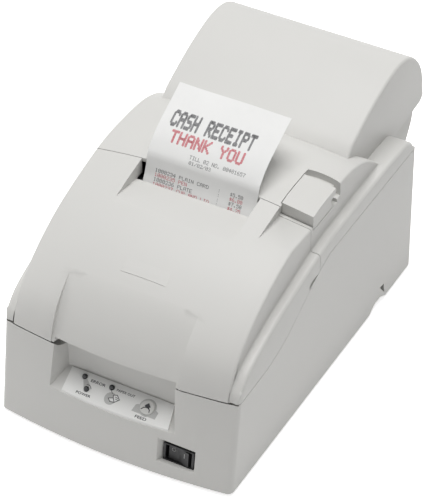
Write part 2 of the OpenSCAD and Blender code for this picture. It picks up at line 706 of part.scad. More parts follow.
module pulley(bore) {
    difference() {
        union() {
            cylinder(r = pulley_r, h = 4.4);
            cylinder(r = pulley_r + 1.6, h = 0.8);
            translate([0, 0, 5.2]) cylinder(r = pulley_r + 1.6, h = 0.8);
            cylinder(r = pulley_r, h = 5.4);
        }
        translate([0, 0, -1]) cylinder(d = bore + 2 * run_gap, h = 9);
        for (k = [0 : 15]) rotate(k * 22.5) translate([pulley_r, 0, 0.85]) linear_extrude(4.3)
            circle(r = 0.6, $fn = 8);
    }
}
module drive_pulley() color("#d8c9a0") at_rest() translate([drive_x, belt_y, belt_z - 3]) pulley(3);
module idler_pulley() color("#d8c9a0") at_rest() translate([idler_x, belt_y, belt_z - 3]) pulley(4);
module stepper(d, body, shaft_d, shaft) {
    cylinder(d = d, h = body);
    translate([0, 0, body]) cylinder(d = 9, h = 1.2);
    translate([0, 0, body]) cylinder(d = shaft_d, h = shaft);
    linear_extrude(1.2) hull() for (s = [-1, 1]) translate([0, s * (d / 2 + 3)]) circle(d = 6);
}
module carriage_motor() color("#9ea1a4") at_rest() {
    translate([drive_x, belt_y, chassis_z + sheet]) stepper(motor_d - 3, 18, 3, 27.8 - 1);
    translate([idler_x, belt_y, chassis_z + sheet]) {
        cylinder(d = 9, h = belt_z - 3.3 - chassis_z - sheet);
        cylinder(d = 4, h = belt_z + 4 - chassis_z - sheet);
    }
}
module platen() color(black) at_rest() {
    block(-paper_w / 2 - 3, paper_w / 2 + 3, web_y, 115, platen_z - 7, platen_z + 7);
    block(-plate_x - sheet, plate_x + sheet, 109, 115, platen_z - 5.8, platen_z + 5.8);
}
module feed_roller() color("#2a2a2c") at_rest() {
    rod(6, -plate_x - sheet - 1, gear_x + gear_face + 0.5, feed_y, feed_z);
    for (x = [-34, -12, 12, 34]) rod(feed_d, x - 7 * 0.9, x + 7 * 0.9, feed_y, feed_z);
    translate([gear_x, feed_y, feed_z]) rotate([0, 90, 0]) gear(roller_teeth, 5.9, gear_face, -45);
}
module pinch_roller() color("#2a2a2c") at_rest() {
    rod(5, -plate_x - sheet - 0.5, plate_x + sheet + 0.5, pinch_y, feed_z);
    for (x = [-34, 34]) rod(2 * (web_y - paper_t - 0.3 - pinch_y), x - 6, x + 6, pinch_y, feed_z);
}
module idler_gear() color("#e6dfc6") at_rest() translate([gear_x, idler_y, idler_z]) rotate([0, 90, 0])
    gear(idler_teeth, 4 + 2 * run_gap, gear_face, idler_phase);
module feed_pinion() color("#c8a24a") at_rest() translate([gear_x, motor_y, motor_z]) rotate([0, 90, 0])
    gear(pinion_teeth, 3 + 2 * run_gap, gear_face, pinion_phase);
module feed_motor() color("#9ea1a4") at_rest() {
    translate([plate_x - 20, motor_y, motor_z]) rotate([0, 90, 0]) {
        cylinder(d = motor_d - 1, h = 20);
        cylinder(d = 3, h = 20 + gear_x - plate_x + gear_face + 0.5);
    }
    rod(4, plate_x - 0.6, gear_x + gear_face + 0.5, idler_y, idler_z);
    rod(8, plate_x + sheet, gear_x - 0.3, idler_y, idler_z);
}
module cutter_body() color("#c2c5c8") at_rest() difference() {
    union() {
        block(-plate_x, plate_x, 109, 116, 99.2, 112.6);
        block(-46, 46, 108.2, 121, 98.2, cut_z - 0.4);
        block(20, 40, 119.5, 121, 82, 99);
    }
    block(-44, 44, 107, 112, 109, 111.2);
    for (x = [-30, 0, 30]) translate([x, 122, 106]) rotate([90, 0, 0]) cylinder(d = 4, h = 6);
}
module cutter_blade() color("#dfe2e4") at_rest() {
    block(-46, 46, 99.5, web_y - 0.6, 112.2, 113.2);
    both_sides() {
        block(46, plate_x, 99.5, 109, 108, 112.6);
        block(44, plate_x, 99.5, 101, 96, 112.6);
    }
}
module cutter_motor() color("#8b8e92") at_rest() translate([30, 121, 90]) {
    rotate([-90, 0, 0]) cylinder(d = 15, h = 4);
    translate([0, 2, 8.2]) cube([14, 4, 1], center = true);
}

// ---- Ribbon ----
cass_z = 76.5;
cass_h = 12;
module ribbon_cassette() color(dark_grey) at_rest() difference() {
    translate([0, 0, cass_z]) linear_extrude(cass_h) offset(r = 2) offset(delta = -2)
        polygon([[-58, 34], [58, 34], [58, 104],
        [49, 104], [43, 74.4], [-43, 74.4], [-49, 104], [-58, 104]]);
    both_sides() translate([0, 0, cass_z + 1.2]) linear_extrude(cass_h - 2.4)
        polygon([[49.8, 110], [56.6, 110], [56.6, 96], [51.5, 90]]);
    translate([-36, 52, cass_z + cass_h - 2]) cylinder(d = 21, h = 5);
    translate([-36, 52, cass_z + 2]) cylinder(d = 6, h = 20);
    translate([8, 54, cass_z + cass_h - 0.6]) linear_extrude(2) square([52, 22], center = true);
}
module ribbon() color("#571a22") at_rest() {
    block(-53, 53, 105.1, 105.3, cass_z + 1.6, cass_z + cass_h - 1.6);
    both_sides() block(53, 53.2, 98, 105.3, cass_z + 1.6, cass_z + cass_h - 1.6);
}
module ribbon_knob() color("#24262a") at_rest() translate([-36, 52, cass_z + cass_h - 1.7]) difference() {
    union() {
        cylinder(d = 18, h = 4.5);
        translate([0, 0, -8]) cylinder(d = 5.4, h = 9);
    }
    for (k = [0 : 11]) rotate(k * 30) translate([9.4, 0, 0.8]) linear_extrude(5) circle(r = 1.1, $fn = 8);
    translate([0, 0, 3.6]) linear_extrude(2) square([11, 1.8], center = true);
}

// ---- Electronics ----
module main_board() color("#1f6b45") at_rest() difference() {
    block(-50, 50, 30, 128, 5.2, 6.8);
    both_sides() for (y = [36, 122]) translate([45, y, 0]) cylinder(d = 3.2, h = 20);
}
module board_parts() color("#26282b") at_rest() {
    both_sides() for (y = [36, 122]) translate([45, y, wall]) {
        cylinder(d = 7, h = 5.2 - wall);
        cylinder(d = 3, h = 7.6 - wall);
        translate([0, 0, 6.8 - wall]) cylinder(d = 5.5, h = 1.8);
    }
    block(-12, 8, 60, 80, 6.8, 8.6);
    block(16, 30, 66, 76, 6.8, 8.4);
    for (x = [-38 : 9 : -20]) translate([x, 108, 6.8]) cylinder(d = 6.4, h = 4.6);
    for (y = [88, 94, 100]) block(14, 34, y, y + 3.6, 6.8, 9.2);
}
socket_x = -22;
inlet_x = 37;
jack_x = 15;
port_z = (port_z0 + port_z1) / 2;
module interface_plate() color(steel) at_rest() difference() {
    block(-58.5, 58.5, port_y - 1.2, port_y, port_z0 - 2, port_z1 + 2);
    translate([socket_x, port_y - 6, port_z]) rotate([-90, 0, 0]) linear_extrude(10)
        square([40, 11], center = true);
    translate([inlet_x, port_y - 6, port_z]) rotate([-90, 0, 0]) cylinder(d = 14, h = 10);
    translate([jack_x, port_y - 6, port_z]) rotate([-90, 0, 0]) linear_extrude(10)
        square([13, 12], center = true);
    both_sides() translate([52.4, port_y - 6, port_z]) rotate([-90, 0, 0]) cylinder(d = 3.2, h = 10);
}
module interface_socket() color("#aeb2b6") at_rest() {
    difference() {
        translate([socket_x, port_y - 10, port_z]) rotate([-90, 0, 0]) linear_extrude(14.5)
            offset(r = 1.5) offset(delta = -1.5) square([40, 11], center = true);
        translate([socket_x, port_y - 3, port_z]) rotate([-90, 0, 0]) linear_extrude(9)
            offset(r = 1) offset(delta = -1) square([37, 8.4], center = true);
    }
    for (k = [-1, 1]) translate([socket_x + k * 23.5, port_y, port_z]) rotate([-90, 0, 0])
        cylinder(d = 5.5, h = 3.6, $fn = 6);
    block(-55, 55, port_y - 11.6, port_y - 10, port_z0 - 2, port_z1 + 2);
}
module dc_inlet() color(black) at_rest() translate([inlet_x, 0, port_z]) difference() {
    translate([0, port_y - 10, 0]) rotate([-90, 0, 0]) cylinder(d = 14, h = 11.8);
    translate([0, port_y - 6, 0]) rotate([-90, 0, 0]) ring(11, 6.2, 9);
    for (a = [90, 210, 330]) translate([1.9 * cos(a), port_y - 4, 1.9 * sin(a)]) rotate([-90, 0, 0])
        cylinder(d = 1, h = 9, $fn = 16);
}
module drawer_jack() color("#d0d2d0") at_rest() difference() {
    translate([jack_x, port_y - 10, port_z]) rotate([-90, 0, 0]) linear_extrude(11.6)
        square([13, 12], center = true);
    translate([jack_x, port_y - 7, port_z + 0.6]) rotate([-90, 0, 0]) linear_extrude(9)
        square([10, 7], center = true);
    translate([jack_x, port_y - 7, port_z - 4]) rotate([-90, 0, 0]) linear_extrude(9)
        square([4.4, 6], center = true);
}

// ---- Journal take-up ----
module takeup_arms() color(dark_grey) at_rest() difference() {
    union() {
        both_sides() across(arm_t, arm_x + arm_t / 2) {
            translate([spool_y, spool_z]) circle(6);
            polygon([[spool_y - 5.6, spool_z - 2], [spool_y + 5.6, spool_z - 2], [261, 84],
                [259, 72], [case_d + wall, 66], [case_d + wall, 90]]);
        }
        both_sides() block(arm_x - 3, arm_x + 9, case_d + wall, case_d + wall + 2, 66, 90);
        block(take_plate_x, take_plate_x + 1.5, case_d + wall, take_y + 9, 88, 101);
    }
    rod(4 + 2 * run_gap, -80, 80, spool_y, spool_z);
    rod(4, 45.4, 80, take_y, take_z);
    both_sides() translate([arm_x + 6, case_d, 80]) rotate([-90, 0, 0]) cylinder(d = 2.6, h = 20);
}
module takeup_spool() color("#2c2d30") at_rest() {
    rod(4, -arm_x - arm_t - 0.6, spool_gear_x + gear_face + 0.6, spool_y, spool_z);
    rod(9, -paper_w / 2 - 2.4, paper_w / 2 + 2.4, spool_y, spool_z);
    for (s = [-1, 1])
        rod(2 * flange_r, s * (paper_w / 2 + 1.6) - 0.8, s * (paper_w / 2 + 1.6) + 0.8, spool_y, spool_z);
    translate([spool_gear_x, spool_y, spool_z]) rotate([0, 90, 0])
        gear(spool_teeth, 3.9, gear_face, take_a + 90);
}
module journal_paper() color("white") at_rest() translate([-paper_w / 2 + 0.4, spool_y, spool_z])
    rotate([0, 90, 0])
    ring(2 * journal_r, 9.04, paper_w - 0.8);
module takeup_pinion() color("#c8a24a") at_rest() translate([spool_gear_x, take_y, take_z])
    rotate([0, 90, 0])
    gear(pinion_teeth, 2 + 2 * run_gap, gear_face, take_a - 90 - 180 / pinion_teeth);
module takeup_motor() color("#9ea1a4") at_rest() translate([0, take_y, take_z]) rotate([0, 90, 0]) {
    translate([0, 0, take_plate_x + 1.5])
        cylinder(d = 14, h = housing_w / 2 - wall - 0.4 - take_plate_x - 1.5);
    translate([0, 0, spool_gear_x - 0.3]) cylinder(d = 2, h = 8);
}

// ---- Fasteners ----
module screw(d, head, len) {
    difference() {
        cylinder(d = head, h = d * 0.55);
        translate([0, 0, d * 0.25]) linear_extrude(d) for (a = [0, 90]) rotate(a)
            square([head * 0.62, 0.6], center = true);
    }
    translate([0, 0, -len]) cylinder(d = d * 0.82, h = len);
}
module chassis_screws() color("#c9cbcd") at_rest() both_sides() for (y = post_y)
    translate([post_x, y, chassis_z + sheet]) screw(3, 6, 8);
module case_screws() color("#c9cbcd") at_rest() {
    both_sides() translate([52.4, port_y, port_z]) rotate([-90, 0, 0]) screw(3, 5.6, 5);
    both_sides() translate([arm_x + 6, case_d + wall + 2, 80]) rotate([-90, 0, 0]) screw(3, 5.6, 4);
}

lower_case();
front_cover();
roll_cover();
takeup_hood();
takeup_housing();
open_lever();
lever_pin();
front_hinge_pins();
rear_hinge_pins();
rubber_feet();
panel_plate();
status_lamps();
feed_button();
button_switch();
switch_bezel();
power_rocker();
receipt();
paper_web();
paper_roll();
roll_core();
paper_bay();
chassis();
guide_shaft();
guide_rail();
carriage();
print_head();
drive_pulley();
idler_pulley();
carriage_belt();
carriage_motor();
platen();
feed_roller();
pinch_roller();
idler_gear();
feed_pinion();
feed_motor();
cutter_body();
cutter_blade();
cutter_motor();
ribbon_cassette();
ribbon();
ribbon_knob();
main_board();
board_parts();
interface_plate();
interface_socket();
dc_inlet();
drawer_jack();
takeup_arms();
takeup_spool();
journal_paper();
takeup_pinion();
takeup_motor();
chassis_screws();
case_screws();
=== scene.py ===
import json
import math

import bmesh
import bpy
from mathutils import Matrix, Vector
from mathutils.bvhtree import BVHTree

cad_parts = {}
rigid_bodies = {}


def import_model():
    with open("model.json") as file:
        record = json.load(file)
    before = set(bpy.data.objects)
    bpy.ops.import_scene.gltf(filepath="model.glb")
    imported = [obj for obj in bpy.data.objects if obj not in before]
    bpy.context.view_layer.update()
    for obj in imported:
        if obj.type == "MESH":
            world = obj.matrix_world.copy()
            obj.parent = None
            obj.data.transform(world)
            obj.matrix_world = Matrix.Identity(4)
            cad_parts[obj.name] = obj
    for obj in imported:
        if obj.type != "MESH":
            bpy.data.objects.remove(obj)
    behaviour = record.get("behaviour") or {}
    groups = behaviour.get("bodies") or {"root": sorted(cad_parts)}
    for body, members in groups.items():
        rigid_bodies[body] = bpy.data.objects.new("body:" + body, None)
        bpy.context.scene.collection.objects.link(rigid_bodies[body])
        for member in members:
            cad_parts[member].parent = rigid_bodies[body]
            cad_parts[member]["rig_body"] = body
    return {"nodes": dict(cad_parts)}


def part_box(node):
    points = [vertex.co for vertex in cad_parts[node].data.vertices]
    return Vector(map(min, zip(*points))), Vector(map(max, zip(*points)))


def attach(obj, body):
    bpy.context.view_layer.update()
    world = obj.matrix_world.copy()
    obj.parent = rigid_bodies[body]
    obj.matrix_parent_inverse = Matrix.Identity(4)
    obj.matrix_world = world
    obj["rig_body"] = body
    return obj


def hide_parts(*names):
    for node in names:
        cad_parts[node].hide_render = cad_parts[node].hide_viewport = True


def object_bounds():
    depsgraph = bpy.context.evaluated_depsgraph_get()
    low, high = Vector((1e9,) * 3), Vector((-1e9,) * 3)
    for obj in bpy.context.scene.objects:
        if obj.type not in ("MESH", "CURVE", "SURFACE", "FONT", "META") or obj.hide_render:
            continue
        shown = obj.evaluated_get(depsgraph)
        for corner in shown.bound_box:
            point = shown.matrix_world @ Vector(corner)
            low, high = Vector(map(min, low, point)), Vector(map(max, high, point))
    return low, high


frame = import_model()
cad_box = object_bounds()

# ---------------------------------------------------------------------------
# Camera
# A long lens looks down on the printer from its right front corner, with the
# printer turned so that its front and its right side both show.
# ---------------------------------------------------------------------------
def build_camera():
    azimuth, elevation, roll = (math.radians(a) for a in (29.454, 40.246, -0.585))
    aim, distance = Vector((0, -0.020, 0.063)), 1.6443
    back = Vector(
        (
            math.sin(azimuth) * math.cos(elevation),
            -math.cos(azimuth) * math.cos(elevation),
            math.sin(elevation),
        )
    )
    right = Vector((math.cos(azimuth), math.sin(azimuth), 0))
    up = back.cross(right)
    side = right * math.cos(roll) + up * math.sin(roll)
    top = up * math.cos(roll) - right * math.sin(roll)
    data = bpy.data.cameras.new("camera")
    data.sensor_fit = "VERTICAL"
    data.sensor_height = 36
    data.lens = 192.5
    data.shift_x = 0.011
    data.shift_y = 0.0242
    data.clip_end = 20
    camera = bpy.data.objects.new("camera", data)
    turn = Matrix((side, top, back)).transposed().to_4x4()
    camera.matrix_world = Matrix.Translation(aim + back * distance) @ turn
    bpy.context.scene.collection.objects.link(camera)
    bpy.context.scene.camera = camera


build_camera()


# ---------------------------------------------------------------------------
# Case and covers
# Thin shells of injection-moulded plastic in one warm grey: the lower case, the
# three covers that open or lift off it and the release lever. The mould leaves a
# fine grain on every face and a small round on every edge.
# ---------------------------------------------------------------------------
def blank(name, colour, rough, metal=0.0, specular=0.5):
    """A plain material, with its node tree, its shader and the place on the piece."""
    m = bpy.data.materials.new(name)
    m.use_nodes = True
    nt = m.node_tree
    bsdf = nt.nodes["Principled BSDF"]
    bsdf.inputs["Base Color"].default_value = (*colour, 1)
    bsdf.inputs["Roughness"].default_value = rough
    bsdf.inputs["Metallic"].default_value = metal
    bsdf.inputs["Specular IOR Level"].default_value = specular
    where = nt.nodes.new("ShaderNodeTexCoord")
    return m, nt, bsdf, where.outputs["Object"]


def noise(nt, where, scale, detail=3.0, rough=0.55, stretch=None):
    """Cloudy noise over the piece, drawn out along its axes where stretch is given."""
    n = nt.nodes.new("ShaderNodeTexNoise")
    n.inputs["Scale"].default_value = scale
    n.inputs["Detail"].default_value = detail
    n.inputs["Roughness"].default_value = rough
    if stretch:
        m = nt.nodes.new("ShaderNodeMapping")
        m.inputs["Scale"].default_value = stretch
        nt.links.new(where, m.inputs["Vector"])
        where = m.outputs["Vector"]
    nt.links.new(where, n.inputs["Vector"])
    return n.outputs["Fac"]


def spread(nt, fac, low, high, start=0.3, end=0.7):
    """Low to high, as fac goes from start to end."""
    r = nt.nodes.new("ShaderNodeMapRange")
    r.inputs["From Min"].default_value = start
    r.inputs["From Max"].default_value = end
    r.inputs["To Min"].default_value = low
    r.inputs["To Max"].default_value = high
    nt.links.new(fac, r.inputs["Value"])
    return r.outputs["Result"]


def shade_between(nt, bsdf, fac, a, b):
    """Base colour a where fac is 0 and b where it is 1."""
    mix = nt.nodes.new("ShaderNodeMix")
    mix.data_type = "RGBA"
    mix.inputs["A"].default_value = (*a, 1)
    mix.inputs["B"].default_value = (*b, 1)
    nt.links.new(fac, mix.inputs["Factor"])
    nt.links.new(mix.outputs["Result"], bsdf.inputs["Base Color"])


def bump(nt, bsdf, height, distance):
    """Relief as deep as distance, in metres."""
    b = nt.nodes.new("ShaderNodeBump")
    b.inputs["Distance"].default_value = distance
    b.inputs["Strength"].default_value = 1
    nt.links.new(height, b.inputs["Height"])
    nt.links.new(b.outputs["Normal"], bsdf.inputs["Normal"])


def plastic(name, colour, rough=0.5, grain=2600, depth=0.00003, mottle=0.02, specular=0.4):
    """Moulded plastic with spark-eroded grain and a trace of yellowing and handling."""
    m, nt, bsdf, where = blank(name, colour, rough, specular=specular)
    broad = noise(nt, where, 9, 4)
    a = [c * (1 - mottle) for c in colour]
    b = [min(1, c * (1 + mottle * k)) for c, k in zip(colour, (1.0, 0.85, 0.6))]
    shade_between(nt, bsdf, spread(nt, broad, 0, 1, 0.35, 0.65), a, b)
    fine = noise(nt, where, grain, 2, 0.6)
    nt.links.new(spread(nt, fine, rough - 0.05, rough + 0.07), bsdf.inputs["Roughness"])
    bump(nt, bsdf, fine, depth)
    return m


def brow(bm, half):
    """The top edges of the two flat sides that stand half a width, in mm, from the middle."""
    near = 0.0004
    side_least, top_most, top_up = 0.97, 0.5, 0.05
    found = []
    for e in bm.edges:
        off = max(abs(abs(v.co.x) - half / 1000) for v in e.verts)
        if len(e.link_faces) != 2 or off > near:
            continue
        side, top = sorted(e.link_faces, key=lambda f: -abs(f.normal.x))
        across = abs(side.normal.x) > side_least and abs(top.normal.x) < top_most
        if across and top.normal.z > top_up:
            found.append(e)
    return found


SMOOTH = math.radians(35)
FLAT = math.radians(0.4)
WELD = 0.000002
SLIVER = 0.000004


def carried(node, material, edge, segments=2, brows=()):
    """A welded copy of a frame piece with its edges broken, and its brows rounded more."""
    source = frame["nodes"][node]
    mesh = bpy.data.meshes.new(node + "_form")
    bm = bmesh.new()
    bm.from_mesh(source.data)
    bmesh.ops.remove_doubles(bm, verts=bm.verts, dist=WELD)
    bmesh.ops.dissolve_degenerate(bm, dist=SLIVER, edges=bm.edges)
    bmesh.ops.dissolve_limit(bm, angle_limit=FLAT, verts=bm.verts, edges=bm.edges)
    for half, radius in brows:
        bmesh.ops.bevel(
            bm,
            geom=brow(bm, half),
            offset=radius / 1000,
            offset_type="OFFSET",
            segments=5,
            profile=0.5,
            affect="EDGES",
            material=-1,
            clamp_overlap=False,
        )
        for v in bm.verts:
            v.co.x = max(cad_box[0][0], min(cad_box[1][0], v.co.x))
    bm.to_mesh(mesh)
    bm.free()
    mesh.materials.clear()
    mesh.materials.append(material)
    piece = bpy.data.objects.new(node + "_form", mesh)
    bpy.context.scene.collection.objects.link(piece)
    mesh.shade_smooth()
    mesh.set_sharp_from_angle(angle=SMOOTH)
    if edge:
        b = piece.modifiers.new("edges", "BEVEL")
        b.width = edge
        b.segments = segments
        b.limit_method = "ANGLE"
        b.angle_limit = SMOOTH
        b.use_clamp_overlap = True
        b.harden_normals = False
    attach(piece, source["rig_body"])
    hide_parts(node)
    return piece


CASE = plastic(
    "case_plastic", (0.615, 0.61, 0.59), rough=0.48, grain=2300, depth=0.00004, mottle=0.012
)
HOUSING = plastic("housing_plastic", (0.59, 0.585, 0.565), rough=0.55, mottle=0.015)
# Half the width in mm over the ledges, the crown and the hood, each with its round.
LEDGE_BROW = (1000 * cad_box[1][0], 2.4)
CROWN_BROW = (73.5, 1.2)
HOOD_BROW = (1000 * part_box("takeup_hood")[1][0], 2.0)
carried("lower_case", CASE, edge=0.0005, segments=3)
for name in ("front_cover", "roll_cover"):
    carried(name, CASE, edge=0.0005, segments=3, brows=[LEDGE_BROW, CROWN_BROW])
carried("takeup_hood", CASE, edge=0.0005, segments=3, brows=[HOOD_BROW])
carried("open_lever", CASE, edge=0.0005, segments=3)
carried("takeup_housing", HOUSING, edge=0.0005, segments=3)


# ---------------------------------------------------------------------------
# Pins and shafts
# Ground steel rod. The hinge pins are pressed into the covers, and the print
# head rides on the polished shaft.
# ---------------------------------------------------------------------------
def metal(name, colour, rough=0.35, along=(1, 1, 1), scale=700, depth=0.000006):
    """Plated or ground metal, with the marks of its making along one direction."""
    m, nt, bsdf, where = blank(name, colour, rough, metal=1.0)
    lines = noise(nt, where, scale, 4, 0.6, stretch=along)
    cloud = noise(nt, where, 60, 3)
    nt.links.new(spread(nt, lines, rough - 0.08, rough + 0.12), bsdf.inputs["Roughness"])
    dull, bright = [c * 0.9 for c in colour], [min(1, c * 1.06) for c in colour]
    shade_between(nt, bsdf, spread(nt, cloud, 0, 1), dull, bright)
    bump(nt, bsdf, lines, depth)
    return m


SHAFT = metal("shaft_steel", (0.72, 0.73, 0.74), rough=0.2, along=(0.05, 1, 1))
for name in ("lever_pin", "front_hinge_pins", "rear_hinge_pins", "guide_shaft"):
    carried(name, SHAFT, edge=0.0002)


# ---------------------------------------------------------------------------
# Pressed steel
# The chassis, the rail, the interface plate and the paper cutter are folded or
# stamped from zinc-plated sheet, and held by plated screws.
# ---------------------------------------------------------------------------
SHEET = metal("zinc_steel", (0.60, 0.61, 0.62), rough=0.36, along=(0.15, 1, 1))
for name in ("chassis", "guide_rail", "cutter_body", "cutter_blade"):
    carried(name, SHEET, edge=0.00015)
for name in ("interface_plate", "interface_socket"):
    carried(name, SHEET, edge=0.00015)
for name in ("chassis_screws", "case_screws"):
    carried(name, SHEET, edge=0.0001)


# ---------------------------------------------------------------------------
# Black mouldings
# The paper bay, the platen, the head carriage, the ribbon cassette with its knob,
# the take-up arms and spool and the power inlet are black glass-filled plastic.
# ---------------------------------------------------------------------------
DARK = plastic("dark_plastic", (0.035, 0.035, 0.037), rough=0.5, mottle=0.1)
for name in ("paper_bay", "carriage", "platen", "ribbon_cassette", "ribbon_knob", "dc_inlet"):
    carried(name, DARK, edge=0.0003)
for name in ("takeup_arms", "takeup_spool"):
    carried(name, DARK, edge=0.0002)


# ---------------------------------------------------------------------------
# Pulleys, gears and pinions
# The pulleys and the idler gear are natural nylon. The motors drive them through
# small brass pinions pressed on their shafts.
# ---------------------------------------------------------------------------
GEAR = plastic("gear_plastic", (0.66, 0.62, 0.50), rough=0.4, mottle=0.03)
BRASS = metal("pinion_brass", (0.72, 0.53, 0.24), rough=0.3)
for name in ("drive_pulley", "idler_pulley", "idler_gear"):
    carried(name, GEAR, edge=0.0001)
for name in ("feed_pinion", "takeup_pinion"):
    carried(name, BRASS, edge=0.00008)


# ---------------------------------------------------------------------------
# Motors
# Four small motors in drawn steel cans: two stepping motors, and two that drive
# the cutter and the take-up spool.
# ---------------------------------------------------------------------------
CAN = metal("motor_can", (0.42, 0.43, 0.45), rough=0.38, along=(1, 1, 0.2))
for name in ("carriage_motor", "feed_motor", "cutter_motor", "takeup_motor"):
    carried(name, CAN, edge=0.0003)


# ---------------------------------------------------------------------------
# Rubber parts
# Four feet pushed into the base, the tyres of the feed and pinch rollers, and the
# toothed belt that pulls the carriage.
# ---------------------------------------------------------------------------
def rubber(name, colour):
    """Moulded rubber, with a little dust in its surface."""
    m, nt, bsdf, where = blank(name, colour, 0.75, specular=0.25)
    fine = noise(nt, where, 1800, 4, 0.7)
    dust = noise(nt, where, 130, 4)
    shade_between(nt, bsdf, spread(nt, dust, 0, 1, 0.45, 0.75), colour, [c + 0.03 for c in colour])
    bump(nt, bsdf, fine, 0.00004)
    return m


RUBBER = rubber("rubber", (0.02, 0.02, 0.02))
carried("rubber_feet", RUBBER, edge=0.0005, segments=3)
for name in ("carriage_belt", "feed_roller", "pinch_roller"):
    carried(name, RUBBER, edge=0.0001)


# ---------------------------------------------------------------------------
# Circuit boards
# The main board lies in the base with its chips and the drawer jack, and a small
# one behind the panel carries the switch of the feed button.
# ---------------------------------------------------------------------------
def board(name, colour):
    """Solder mask over copper: fine tracks raised under the green."""
    m, nt, bsdf, where = blank(name, colour, 0.32)
    brick = nt.nodes.new("ShaderNodeTexBrick")
    brick.inputs["Scale"].default_value = 90
    brick.inputs["Mortar Size"].default_value = 0.03
    nt.links.new(where, brick.inputs["Vector"])
    shade_between(nt, bsdf, brick.outputs["Fac"], colour, [c * 1.5 + 0.01 for c in colour])
    bump(nt, bsdf, brick.outputs["Fac"], 0.00003)
    return m


GREEN = board("board_green", (0.015, 0.12, 0.06))
CHIP = plastic("chip_black", (0.03, 0.03, 0.033), rough=0.55, mottle=0.2)
JACK = plastic("jack_plastic", (0.58, 0.59, 0.58), rough=0.45, mottle=0.02)
for name in ("main_board", "button_switch"):
    carried(name, GREEN, edge=0.0001)
carried("board_parts", CHIP, edge=0.0001)
carried("drawer_jack", JACK, edge=0.0002)


# ---------------------------------------------------------------------------
# Print head and ribbon
# A die-cast head with cooling fins strikes its needles through an inked ribbon,
# which is a narrow band of woven nylon.
# ---------------------------------------------------------------------------
def woven(name, colour):
    """Inked ribbon fabric: a fine plain weave."""
    m, nt, bsdf, where = blank(name, colour, 0.8, specular=0.2)
    waves = []
    for axis in ("X", "Z"):
        w = nt.nodes.new("ShaderNodeTexWave")
        w.bands_direction = axis
        w.inputs["Scale"].default_value = 900
        nt.links.new(where, w.inputs["Vector"])
        waves.append(w.outputs["Fac"])
    cross = nt.nodes.new("ShaderNodeMath")
    cross.operation = "MAXIMUM"
    nt.links.new(waves[0], cross.inputs[0])
    nt.links.new(waves[1], cross.inputs[1])
    shade_between(nt, bsdf, cross.outputs["Value"], [c * 0.5 for c in colour], colour)
    bump(nt, bsdf, cross.outputs["Value"], 0.00003)
    return m


HEAD = metal("head_casting", (0.36, 0.37, 0.39), rough=0.5, scale=1400, depth=0.00003)
RIBBON = woven("ribbon_cloth", (0.06, 0.01, 0.015))
carried("print_head", HEAD, edge=0.0003)
carried("ribbon", RIBBON, edge=0)


# ---------------------------------------------------------------------------
# Paper supply
# The supply roll on its board core, the web that runs from it to the platen, and
# the journal copy wound up under the hood.
# ---------------------------------------------------------------------------
def paper(name, colour, fibre=1500):
    """Uncoated roll paper: fibres in the surface and a little light through it."""
    m, nt, bsdf, where = blank(name, colour, 0.72, specular=0.2)
    threads = noise(nt, where, fibre, 5, 0.65, stretch=(1.0, 0.35, 0.35))
    cloud = noise(nt, where, 70, 3)
    shade_between(nt, bsdf, spread(nt, cloud, 0, 1), [c * 0.975 for c in colour], colour)
    bump(nt, bsdf, threads, 0.00002)
    bsdf.inputs["Subsurface Weight"].default_value = 0.06
    bsdf.inputs["Subsurface Radius"].default_value = (0.001, 0.001, 0.001)
    bsdf.inputs["Subsurface Scale"].default_value = 0.4
    return m


# The wave of light and dark layers, in radians for each metre out from the axis.
LAYER_WAVE = 9000


def wound_paper(name, colour, node):
    """The end of a roll: fine rings of wound layers round the axis of the node."""
    m, nt, bsdf, where = blank(name, colour, 0.7, specular=0.2)
    centre_y, centre_z = [(low + high) / 2 for low, high in zip(*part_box(node))][1:]
    shift = nt.nodes.new("ShaderNodeMapping")
    shift.inputs["Location"].default_value = (0, -centre_y, -centre_z)
    shift.inputs["Scale"].default_value = (0, 1, 1)
    nt.links.new(where, shift.inputs["Vector"])
    far = nt.nodes.new("ShaderNodeVectorMath")
    far.operation = "LENGTH"
    nt.links.new(shift.outputs["Vector"], far.inputs[0])
    wave = nt.nodes.new("ShaderNodeMath")
    wave.operation = "MULTIPLY"
    wave.inputs[1].default_value = LAYER_WAVE
    nt.links.new(far.outputs["Value"], wave.inputs[0])
    sine = nt.nodes.new("ShaderNodeMath")
    sine.operation = "SINE"
    nt.links.new(wave.outputs["Value"], sine.inputs[0])
    rings = spread(nt, sine.outputs["Value"], 0, 1, -1, 1)
    shade_between(nt, bsdf, rings, [c * 0.9 for c in colour], colour)
    bump(nt, bsdf, rings, 0.00003)
    return m


PAPER = paper("paper", (0.80, 0.80, 0.79))
CORE = paper("core_board", (0.50, 0.40, 0.27), fibre=700)
ROLL = wound_paper("roll_paper", (0.84, 0.84, 0.82), "paper_roll")
JOURNAL = wound_paper("journal_paper", (0.84, 0.84, 0.82), "journal_paper")
carried("paper_web", PAPER, edge=0)
carried("paper_roll", ROLL, edge=0.0003)
carried("roll_core", CORE, edge=0.0002)
carried("journal_paper", JOURNAL, edge=0.0002)


# ---------------------------------------------------------------------------
# Paper with a printed receipt
# A 76 mm strip comes up out of the slot, bends back over the tear edge and
# stands clear of the cover. Its free end is torn off in fine teeth.
# ---------------------------------------------------------------------------
def blend(t, p, q, r, s):
    """The value at t on the smooth curve that runs from q to r, between p and s."""
    square, cube = 2 * p - 5 * q + 4 * r - s, 3 * q - p - 3 * r + s
    return 0.5 * (2 * q + (r - p) * t + square * t**2 + cube * t**3)


def smooth_line(points, steps):
    """A curve through every point, in the points' own order."""
    line = []
    for i in range(len(points) - 1):
        a, b = points[max(i - 1, 0)], points[i]
        c, d = points[i + 1], points[min(i + 2, len(points) - 1)]
        for k in range(steps):
            t = k / steps
            line.append(tuple(blend(t, *four) for four in zip(a, b, c, d)))
    return line + [points[-1]]


